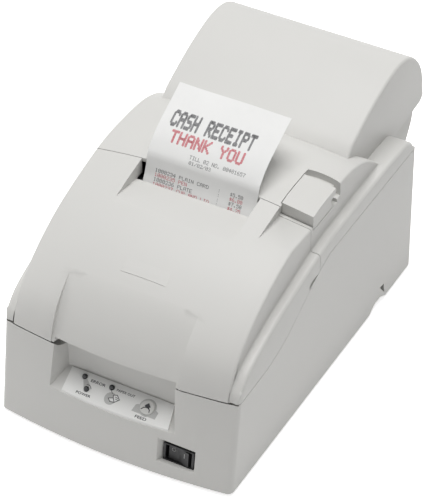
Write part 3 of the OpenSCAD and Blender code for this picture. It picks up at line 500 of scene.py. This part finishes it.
PAPER_HALF = 38
PRINT_LIFT = 0.03
paper_line = smooth_line(
    [(107.8, 114.9), (110.2, 117.6), (113.2, 122.5), (115, 127), (116.3, 131), (117.4, 135)]
    + [(119.5, 138.4), (124.7, 143.5), (131.9, 148.5), (143.1, 154.4), (158.4, 162)],
    5,
)
paper_run = [0]
for start, end in zip(paper_line, paper_line[1:]):
    paper_run.append(paper_run[-1] + math.dist(start, end))

FRONT = cad_box[0][1]
CASE_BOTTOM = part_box("lower_case")[0][2]


def at(x, y, z):
    """Millimetres from the middle, the front edge and the case bottom, as metres in the frame."""
    return Vector((x / 1000, y / 1000 + FRONT, z / 1000 + CASE_BOTTOM))


def on_paper(x, run, lift):
    """The place x across and run along the strip, lift above its printed side, in mm."""
    run = min(max(run, 0), paper_run[-1])
    i = next(k for k in range(len(paper_line) - 1) if run <= paper_run[k + 1] + 1e-9)
    t = (run - paper_run[i]) / (paper_run[i + 1] - paper_run[i])
    (y0, z0), (y1, z1) = paper_line[i], paper_line[i + 1]
    length = math.hypot(y1 - y0, z1 - z0)
    last_quarter = max(0, 4 * run / paper_run[-1] - 3)
    ripple = 0.35 * math.sin(x * 0.11 + 0.6) * last_quarter**2
    out = lift + ripple
    y = y0 + t * (y1 - y0) - out * (z1 - z0) / length
    z = z0 + t * (z1 - z0) + out * (y1 - y0) / length
    return at(x, y, z)


def ruled(columns, rows):
    """A flat grid whose corners stand at whole numbers, from 0,0 to columns,rows."""
    bm = bmesh.new()
    bmesh.ops.create_grid(bm, x_segments=columns, y_segments=rows, size=0.5)
    bmesh.ops.translate(bm, verts=bm.verts, vec=(0.5, 0.5, 0))
    bmesh.ops.scale(bm, verts=bm.verts, vec=(columns, rows, 1))
    return bm


def add_piece(name, bm, material, body, smooth=40):
    """A new piece that rides on a body, shaded smooth up to the given angle."""
    mesh = bpy.data.meshes.new(name)
    bm.to_mesh(mesh)
    bm.free()
    mesh.materials.append(material)
    mesh.shade_smooth()
    mesh.set_sharp_from_angle(angle=math.radians(smooth))
    piece = bpy.data.objects.new(name, mesh)
    bpy.context.scene.collection.objects.link(piece)
    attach(piece, body)
    return piece


def build_receipt():
    """The strip, ruled as fine as its torn teeth, with an under side one thickness below."""
    tooth, depth, thick = 0.8, 0.5, 0.1
    columns, last = 2 * round(PAPER_HALF / tooth), len(paper_run) - 1
    bm = ruled(columns, last)
    under = bmesh.ops.extrude_face_region(bm, geom=bm.faces[:])["geom"]
    under = [v for v in under if isinstance(v, bmesh.types.BMVert)]
    bmesh.ops.translate(bm, verts=under, vec=(0, 0, -thick))
    for v in bm.verts:
        i, k = round(v.co.x), round(v.co.y)
        torn = depth * (i % 2) if k == last else 0
        v.co = on_paper(PAPER_HALF * (2 * i / columns - 1), paper_run[k] - torn, v.co.z)
    bmesh.ops.recalc_face_normals(bm, faces=bm.faces)
    piece = add_piece("receipt_sheet", bm, PAPER, frame["nodes"]["receipt"]["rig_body"])
    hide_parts("receipt")


# Printed characters, as the needles strike them: five columns by seven rows.
NEEDLES = {
    "A": ".###. #...# #...# ##### #...# #...# #...#",
    "C": ".###. #...# #.... #.... #.... #...# .###.",
    "D": "####. #...# #...# #...# #...# #...# ####.",
    "E": "##### #.... #.... ####. #.... #.... #####",
    "H": "#...# #...# #...# ##### #...# #...# #...#",
    "I": ".###. ..#.. ..#.. ..#.. ..#.. ..#.. .###.",
    "K": "#...# #..#. #.#.. ##... #.#.. #..#. #...#",
    "L": "#.... #.... #.... #.... #.... #.... #####",
    "M": "#...# ##.## #.#.# #.#.# #...# #...# #...#",
    "N": "#...# ##..# ##..# #.#.# #..## #..## #...#",
    "O": ".###. #...# #...# #...# #...# #...# .###.",
    "P": "####. #...# #...# ####. #.... #.... #....",
    "R": "####. #...# #...# ####. #.#.. #..#. #...#",
    "S": ".#### #.... #.... .###. ....# ....# ####.",
    "T": "##### ..#.. ..#.. ..#.. ..#.. ..#.. ..#..",
    "U": "#...# #...# #...# #...# #...# #...# .###.",
    "Y": "#...# #...# .#.#. ..#.. ..#.. ..#.. ..#..",
    "0": ".###. #...# #..## #.#.# ##..# #...# .###.",
    "1": "..#.. .##.. ..#.. ..#.. ..#.. ..#.. .###.",
    "2": ".###. #...# ....# ...#. ..#.. .#... #####",
    "3": ".###. #...# ....# ..##. ....# #...# .###.",
    "4": "...#. ..##. .#.#. #..#. ##### ...#. ...#.",
    "5": "##### #.... ####. ....# ....# #...# .###.",
    "6": "..##. .#... #.... ####. #...# #...# .###.",
    "7": "##### ....# ...#. ..#.. ..#.. ..#.. ..#..",
    "8": ".###. #...# #...# .###. #...# #...# .###.",
    "9": ".###. #...# #...# .#### ....# ...#. .##..",
    "$": "..#.. .#### #.#.. .###. ..#.# ####. ..#..",
    ".": "..... ..... ..... ..... ..... .##.. .##..",
    ":": "..... .##.. .##.. ..... .##.. .##.. .....",
    "/": "....# ....# ...#. ..#.. .#... #.... #....",
    "-": "..... ..... ..... ##### ..... ..... .....",
    "|": "..#.. ..#.. ..#.. ..... ..#.. ..#.. ..#..",
}


def ink(name, colour, gap=0.42):
    """Printed ink, thin in small spots where it took lightly: the larger gap, the more of them."""
    m, nt, bsdf, where = blank(name, colour, 0.6, specular=0.2)
    fine = noise(nt, where, 2600, 3, 0.6)
    pale = [c + (0.9 - c) * 0.35 for c in colour]
    shade_between(nt, bsdf, spread(nt, fine, 0, 1, gap, gap + 0.25), pale, colour)
    return m


def strike(bm, words, x, run, pitch, height, bold):
    """Prints words from x, with their foot at run along the strip, each dot a hexagon."""
    across, up = pitch / 6, height / 7
    turns = [math.radians(60 * k + 30) for k in range(6)]
    for place, letter in enumerate(words):
        for row, pattern in enumerate(NEEDLES.get(letter, "").split()):
            for column, dot in enumerate(pattern):
                if dot != "#":
                    continue
                cx = x + place * pitch + (column + 0.5) * across
                cy = run + (6.5 - row) * up
                ring = [
                    (cx + bold * across * math.cos(a), cy + bold * up * math.sin(a)) for a in turns
                ]
                bm.faces.new([bm.verts.new(on_paper(*spot, PRINT_LIFT)) for spot in ring])


def build_print():
    """A heading in two colours, two short lines and rows of goods, some of them in red."""
    black, red = bmesh.new(), bmesh.new()
    strike(black, "CASH RECEIPT", -31.5, 43.9, 4.72, 10.3, 1.0)
    strike(red, "THANK YOU", -27.5, 33.7, 5.6, 7.8, 0.9)
    strike(black, "TILL 02 NO. 00481657", -10.8, 27.5, 1.9, 2.4, 0.66)
    strike(black, "01/02/03", -10.2, 24.3, 1.9, 2.2, 0.66)
    rows = [("1000234 PLAIN CARD", "$5.50"), ("1000235 PEN", "$6.00"), ("1000236 PLATE", "$7.50")]
    rows += [("1000237 CUP AND LID", "$4.25"), ("1000238 NOTE", "$1.75")]
    line_feed = 2.95
    for k, (item, price) in enumerate(rows):
        bm = (black, red)[k % 2]
        strike(bm, item, -31.3, 13.1 - line_feed * k, 2.05, 2.35, 0.7)
        strike(bm, price, 19.9, 13.5 - line_feed * k, 1.8, 2.35, 0.7)
        strike(black, "|", 11.6, 13.4 - line_feed * k, 2.0, 2.0, 0.5)
    body = frame["nodes"]["receipt"]["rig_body"]
    add_piece("receipt_print_black", black, ink("ink_black", (0.05, 0.05, 0.055)), body)
    add_piece("receipt_print_red", red, ink("ink_red", (0.50, 0.045, 0.07)), body)


build_receipt()
build_print()


# ---------------------------------------------------------------------------
# Control panel
# A printed film covers the plate of the panel: names of the lamps and of the
# button, grey grounds behind them and a sheet of paper. The button has an arrow.
# ---------------------------------------------------------------------------
FILM = plastic(
    "panel_film", (0.79, 0.79, 0.775), rough=0.35, grain=3200, depth=0.00001, mottle=0.01
)
BUTTON = plastic("button_plastic", (0.62, 0.62, 0.60), rough=0.42, mottle=0.01)
LAMP = plastic("lamp_plastic", (0.012, 0.014, 0.016), rough=0.12, mottle=0.05, specular=0.6)
carried("panel_plate", FILM, edge=0.0001)
carried("feed_button", BUTTON, edge=0.0003, segments=3)
carried("status_lamps", LAMP, edge=0)

PANEL_TILT = math.radians(30)
PANEL_REAR = (20.9, 41.6)
FILM_FACE = -0.12
BUTTON_RISE = 0.8
STEP = 0.02


def on_film(u, v, lift):
    """u along the panel and v up its slope from its rear edge, lift above the film, in mm."""
    out = lift + FILM_FACE
    y = PANEL_REAR[0] + v * math.cos(PANEL_TILT) - out * math.sin(PANEL_TILT)
    z = PANEL_REAR[1] + v * math.sin(PANEL_TILT) + out * math.cos(PANEL_TILT)
    return at(u, y, z)


def letters(bm, words, u, v, height, length, place, lift):
    """Sets words in plain upright letters, fitted to length."""
    text = bpy.data.curves.new("words", "FONT")
    text.body = words
    text.resolution_u = 3
    bolder = 0.018
    text.offset = bolder
    holder = bpy.data.objects.new("words", text)
    bpy.context.scene.collection.objects.link(holder)
    depsgraph = bpy.context.evaluated_depsgraph_get()
    flat = bpy.data.meshes.new_from_object(holder.evaluated_get(depsgraph))
    low = [min(p.co[k] for p in flat.vertices) for k in (0, 1)]
    high = [max(p.co[k] for p in flat.vertices) for k in (0, 1)]
    spots = []
    for p in flat.vertices:
        across = (p.co.x - low[0]) / (high[0] - low[0])
        up = (p.co.y - low[1]) / (high[1] - low[1])
        spots.append(bm.verts.new(place(u + across * length, v + up * height, lift)))
    for polygon in flat.polygons:
        bm.faces.new([spots[i] for i in polygon.vertices])
    bpy.data.objects.remove(holder)
    bpy.data.curves.remove(text)
    bpy.data.meshes.remove(flat)


def patch(bm, outline, place, lift):
    """A flat printed shape, turned to face out whichever way its outline runs."""
    turn = sum(a[0] * b[1] - b[0] * a[1] for a, b in zip(outline, outline[1:] + outline[:1]))
    order = 1 if turn > 0 else -1
    bm.faces.new([bm.verts.new(place(u, v, lift)) for u, v in outline[::order]])


def circle(u, v, radius, start=0, end=360, count=40):
    """Points round a circle, or along an arc with both its ends."""
    points = count if end - start == 360 else count + 1
    angles = [math.radians(start + (end - start) * k / count) for k in range(points)]
    return [(u + radius * math.cos(a), v + radius * math.sin(a)) for a in angles]


def stroke(bm, points, width, place, lift):
    """A line of the given width through points."""
    for (u0, v0), (u1, v1) in zip(points, points[1:]):
        length = math.hypot(u1 - u0, v1 - v0)
        du, dv = (u1 - u0) / length * width / 2, (v1 - v0) / length * width / 2
        corners = [(u0 - du - dv, v0 - dv + du), (u0 - du + dv, v0 - dv - du)]
        corners += [(u1 + du + dv, v1 + dv - du), (u1 + du - dv, v1 + dv + du)]
        patch(bm, corners, place, lift)


def build_panel_print():
    """Grey grounds and a white sheet lowest, then dark letters and lines over them."""
    grey, dark, mark = bmesh.new(), bmesh.new(), bmesh.new()
    button = (19.7, -8.5)
    ground = [(10.9, -13.4), (27.0, -13.6), (27.4, -9.2), (25.2, -8.2), (13.2, -8.2), (11.9, -9.0)]
    patch(grey, ground, on_film, STEP)
    patch(grey, circle(*button, 5.7), on_film, 1.5 * STEP)
    patch(grey, circle(-4.6, -11.2, 3.9), on_film, STEP)
    band = [(-26.3, -5.0), (-24.2, -4.4), (-20.0, -8.0), (-20.4, -10.6), (-23.4, -10.6)]
    patch(grey, band, on_film, STEP)
    letters(dark, "ERROR", -20.8, -5.9, 1.75, 10.0, on_film, 2 * STEP)
    letters(dark, "PAPER OUT", -3.1, -5.6, 1.5, 12.5, on_film, 2 * STEP)
    letters(dark, "POWER", -26.6, -15.4, 1.65, 10.0, on_film, 2 * STEP)
    letters(dark, "FEED", 14.6, -16.5, 1.75, 7.6, on_film, 2 * STEP)
    stroke(dark, [(-6.1, -6.5), (-4.5, -8.0)], 0.3, on_film, 2 * STEP)
    sheet = [(-5.9, -11.3), (-4.2, -12.9), (-1.3, -12.6), (1.2, -10.2)]
    sheet += [(-1.3, -7.8), (-3.7, -8.6), (-3.0, -10.2)]
    patch(mark, sheet, on_film, 1.5 * STEP)
    stroke(dark, sheet + sheet[:1], 0.42, on_film, 2 * STEP)
    stroke(dark, [(-3.0, -10.2), (-1.3, -12.6)], 0.42, on_film, 2 * STEP)
    stroke(dark, [(-1.9, -9.3), (-0.1, -9.6)], 0.3, on_film, 2 * STEP)
    stroke(dark, [(-1.4, -10.4), (0.3, -10.6)], 0.3, on_film, 2 * STEP)
    stroke(dark, circle(-21.2, -10.9, 2.75, 20, 110, 8), 0.35, on_film, 2 * STEP)
    for name, bm, colour, gap in (
        ("grey", grey, (0.50, 0.50, 0.49), 0.2),
        ("white", mark, (0.80, 0.80, 0.79), 0.2),
        ("dark", dark, (0.06, 0.06, 0.065), 0.1),
    ):
        panel_ink = ink("ink_" + name, colour, gap=gap)
        add_piece("panel_print_" + name, bm, panel_ink, "base")

    arrow = bmesh.new()
    u, v = button
    top = BUTTON_RISE - FILM_FACE + STEP
    stroke(arrow, [(u - 3.1, v - 1.9), (u - 2.0, v - 0.6), (u - 0.9, v - 0.2)], 0.6, on_film, top)
    stroke(arrow, [(u + 0.9, v - 0.4), (u + 2.0, v - 1.0), (u + 2.3, v - 2.3)], 0.6, on_film, top)
    stem = [(u - 1.5, v - 0.5), (u + 1.5, v - 0.5), (u + 1.5, v + 0.7), (u - 1.5, v + 0.7)]
    patch(arrow, stem, on_film, top)
    patch(arrow, [(u - 2.2, v + 0.6), (u + 2.2, v + 0.6), (u, v + 2.9)], on_film, top + STEP)
    arrow_ink = ink("ink_button", (0.06, 0.06, 0.065), gap=0.1)
    add_piece("button_print", arrow, arrow_ink, "feed_button")


build_panel_print()


# ---------------------------------------------------------------------------
# Power switch
# A black rocker in a black snap-in frame. A ring and a bar are moulded in pale
# plastic into its two halves, the ring on the half that is pressed in for off.
# ---------------------------------------------------------------------------
SWITCH = plastic("switch_plastic", (0.016, 0.016, 0.017), rough=0.38, mottle=0.1)
carried("switch_bezel", SWITCH, edge=0.0003)
carried("power_rocker", SWITCH, edge=0.0004, segments=3)


SWITCH_X, SWITCH_Z = 44, 15
WALL_LEAN = math.atan(9.7 / 63)
WALL_RADIUS = 536.33
PIVOT_DEPTH = 7.2
ROCKER_HALF = 7.1


def on_rocker(u, v, lift):
    """u across and v up the rocker from its middle, lift out from its face, in mm."""
    if u < 0:
        face = -2.9 - 0.3 * (u + ROCKER_HALF) / ROCKER_HALF
    else:
        face = -3.2 - 2.0 * u / ROCKER_HALF
    deep = PIVOT_DEPTH + face - lift
    wall = SWITCH_Z * math.tan(WALL_LEAN) + SWITCH_X**2 / (2 * WALL_RADIUS)
    y = wall + deep * math.cos(WALL_LEAN) + v * math.sin(WALL_LEAN)
    z = SWITCH_Z - deep * math.sin(WALL_LEAN) + v * math.cos(WALL_LEAN)
    return at(SWITCH_X + u, y, z)


def build_switch_marks():
    bm = bmesh.new()
    ring = circle(-3.9, 2.5, 1.15, count=20)
    stroke(bm, ring + [(-2.75, 2.5)], 0.34, on_rocker, 0.03)
    stroke(bm, [(3.9, 0.2), (3.9, 2.8)], 0.4, on_rocker, 0.03)
    pale = ink("ink_switch", (0.55, 0.55, 0.54), gap=0.15)
    add_piece("switch_marks", bm, pale, "power_rocker")


build_switch_marks()


# ---------------------------------------------------------------------------
# Bare nameplate field
# A low flat field on the front cover, whose front edge stands a little proud
# of the curved top and which runs out into the cover behind.
# ---------------------------------------------------------------------------
def build_plate_field():
    """A grid laid on the cover by rays from above, its first row turned down as a skirt."""
    cover = frame["nodes"]["front_cover"].data
    tree = BVHTree.FromPolygons(
        [v.co.copy() for v in cover.vertices], [tuple(p.vertices) for p in cover.polygons]
    )
    left, right, front, back = -14.6, 16.4, 43.6, 53.0
    columns, rows = 24, 8
    proud, sunk, skirt, side_slope = 0.34, 0.06, 0.25, 0.5
    down, above = Vector((0, 0, -1)), 200
    bm = ruled(columns, rows + 1)
    for v in bm.verts:
        i, j = round(v.co.x), round(v.co.y) - 1
        x = left + (right - left) * i / columns
        y = front + (back - front) * max(j, 0) / rows
        hit, normal = tree.ray_cast(at(x, y, above), down)[:2]
        rise = proud * (1 - max(j, 0) / rows) - sunk
        near = min(x - left, right - x)
        rise = min(rise, near * side_slope - sunk) if j >= 0 else -skirt
        v.co = hit + normal * rise / 1000
    add_piece("plate_field", bm, CASE, "front_cover", smooth=30)


build_plate_field()


# ---------------------------------------------------------------------------
# Floor and light
# A plain pale table under one broad studio light from straight above, with three
# weaker lamps low round it, so the top is bright and the upright walls are greyer.
# ---------------------------------------------------------------------------
def seen(nt):
    """One where a surface is seen, straight or in gloss or glass, and nought where it lights."""
    path = nt.nodes.new("ShaderNodeLightPath")
    rays = path.outputs["Is Camera Ray"]
    for kind in ("Is Glossy Ray", "Is Transmission Ray"):
        either = nt.nodes.new("ShaderNodeMath")
        either.operation = "MAXIMUM"
        nt.links.new(rays, either.inputs[0])
        nt.links.new(path.outputs[kind], either.inputs[1])
        rays = either.outputs["Value"]
    return rays


def lamp(name, place, look, size, watts):
    """A square lamp of the given side, at a place and turned to look at a point."""
    data = bpy.data.lights.new(name, "AREA")
    data.shape = "RECTANGLE"
    data.size = data.size_y = size
    data.energy = watts
    o = bpy.data.objects.new(name, data)
    o.location = place
    o.rotation_euler = (Vector(look) - Vector(place)).to_track_quat("-Z", "Y").to_euler()
    bpy.context.scene.collection.objects.link(o)


def build_stage():
    mesh = bpy.data.meshes.new("floor")
    bm = bmesh.new()
    bmesh.ops.create_grid(bm, x_segments=1, y_segments=1, size=4)
    bm.to_mesh(mesh)
    bm.free()
    floor = bpy.data.objects.new("floor", mesh)
    m, nt, bsdf, where = blank("floor", (0.93, 0.93, 0.93), 0.9, specular=0.1)
    shade_between(nt, bsdf, noise(nt, where, 3), (0.92, 0.92, 0.92), (0.94, 0.94, 0.94))
    bsdf.inputs["Emission Color"].default_value = (1, 1, 1, 1)
    nt.links.new(spread(nt, seen(nt), 0, 0.7, 0, 1), bsdf.inputs["Emission Strength"])
    mesh.materials.append(m)
    bpy.context.scene.collection.objects.link(floor)

    world = bpy.data.worlds.new("studio")
    bpy.context.scene.world = world
    world.use_nodes = True
    nt = world.node_tree
    sky = nt.nodes["Background"]
    sky.inputs["Color"].default_value = (1, 1, 1, 1)
    lighting, backdrop = 0.235, 1
    nt.links.new(spread(nt, seen(nt), lighting, backdrop, 0, 1), sky.inputs["Strength"])

    middle = (0, 0, 0.06)
    lamp("overhead", (0, 0, 1.8), middle, 1.2, 27)
    lamp("left_front", (-0.9, -0.35, 0.25), (-0.06, -0.12, 0.03), 0.4, 1.6)
    lamp("right", (1.6, -0.1, 0.7), middle, 0.8, 1.0)
    lamp("rear", (-0.3, 1.6, 0.8), middle, 0.8, 2)


build_stage()
bpy.context.scene.view_settings.view_transform = "Standard"
